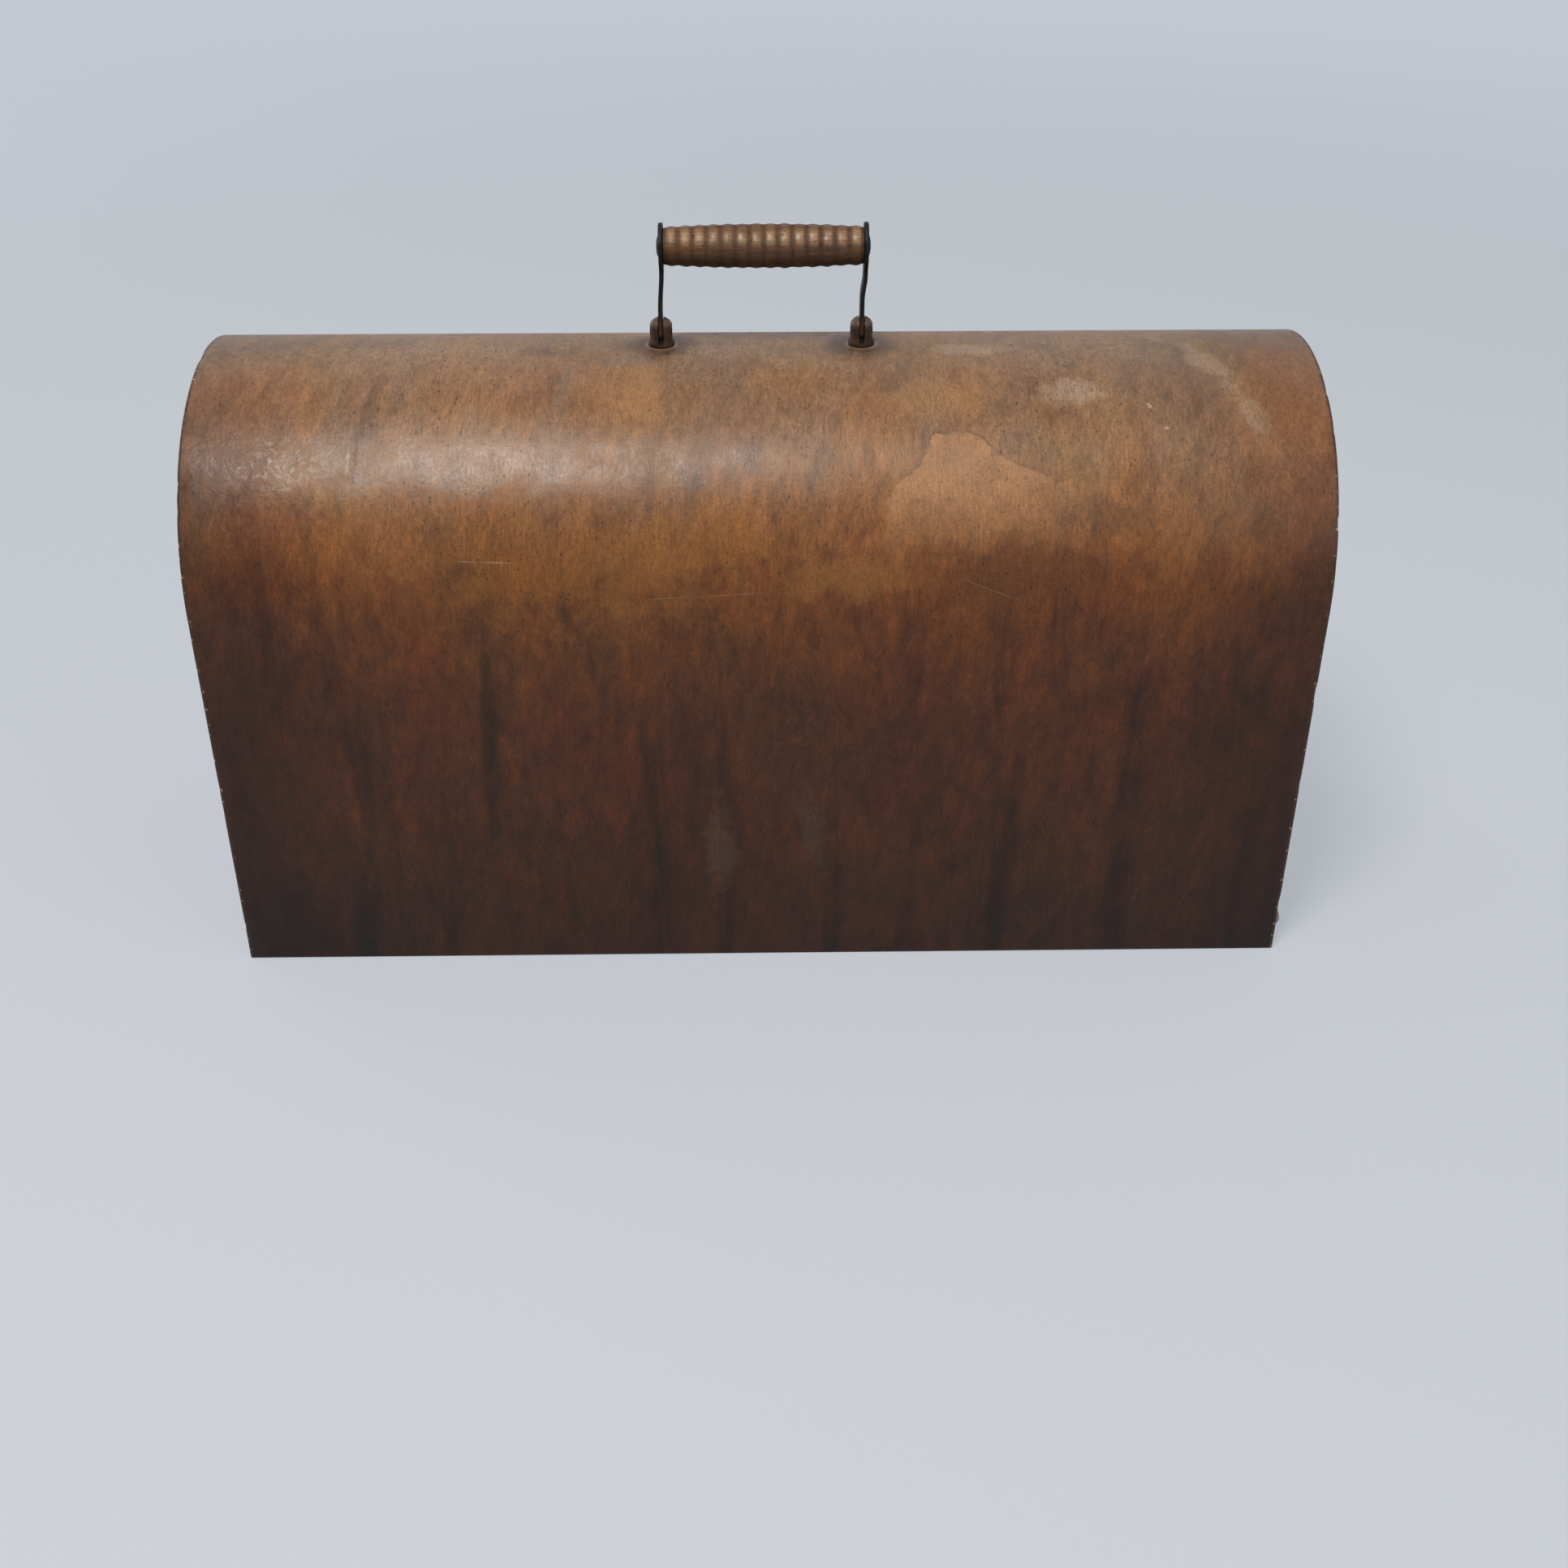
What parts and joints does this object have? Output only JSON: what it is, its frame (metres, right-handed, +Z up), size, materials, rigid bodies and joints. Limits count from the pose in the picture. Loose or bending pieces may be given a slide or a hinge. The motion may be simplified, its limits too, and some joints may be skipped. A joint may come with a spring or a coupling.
{
  "type": "sewing machine cover box",
  "caption": "Domed bentwood cover for a portable sewing machine, with a swinging turned handle on top, a key-turned hook lock in one end and locating pegs in the other.",
  "frame": {"origin": "centre of the footprint, locating pegs included, on the plane of the bottom edge", "axes": "+X along the length, towards the end with the two locating pegs; -Y to the front; +Z up"},
  "size_m": [0.514, 0.192, 0.3345],
  "materials": {
    "shell_veneer": "worn satin shellac over bent plywood veneer",
    "end_board": "dark stained and shellacked solid board",
    "bare_wood": "unfinished aged beech",
    "grip_wood": "turned hardwood, worn satin",
    "post_iron": "browned iron, rusty",
    "arm_iron": "blackened iron",
    "fastener_iron": "dull iron",
    "lock_steel": "dull tarnished steel",
    "escutcheon_brass": "dull brass",
    "peg_iron": "dull tarnished steel"
  },
  "bodies": {
    "cover": {"bent_shell": "shell_veneer", "left_end_panel": "end_board", "right_end_panel": "end_board", "left_glue_blocks": "bare_wood", "right_glue_blocks": "bare_wood", "handle_backing_strip": "bare_wood", "left_handle_post": "post_iron", "right_handle_post": "post_iron", "left_pivot_pin": "post_iron", "right_pivot_pin": "post_iron", "post_washers": "fastener_iron", "post_nuts": "fastener_iron", "lock_case": "lock_steel", "lock_back_plate": "lock_steel", "lock_face_plate": "lock_steel", "lock_screws": "fastener_iron", "keyhole_escutcheon": "escutcheon_brass", "escutcheon_pins": "escutcheon_brass", "front_locating_peg": "peg_iron", "rear_locating_peg": "peg_iron", "peg_plate_screws": "fastener_iron"},
    "handle": {"left_handle_arm": "arm_iron", "right_handle_arm": "arm_iron", "handle_grip": "grip_wood", "grip_rod": "arm_iron"},
    "lock_bolt": {"lock_hook": "lock_steel", "lock_spindle": "lock_steel"}
  },
  "joints": [
    {"name": "handle_swing", "type": "hinge", "parent": "cover", "child": "handle", "pos_m": [-0.0017, 0, 0.2856], "axis": [1, 0, 0], "range_deg": [-94, 94]},
    {"name": "lock_turn", "type": "hinge", "parent": "cover", "child": "lock_bolt", "pos_m": [-0.2515, -0.01251, 0.02], "axis": [-1, 0, 0], "range_deg": [0, 52]}
  ]
}
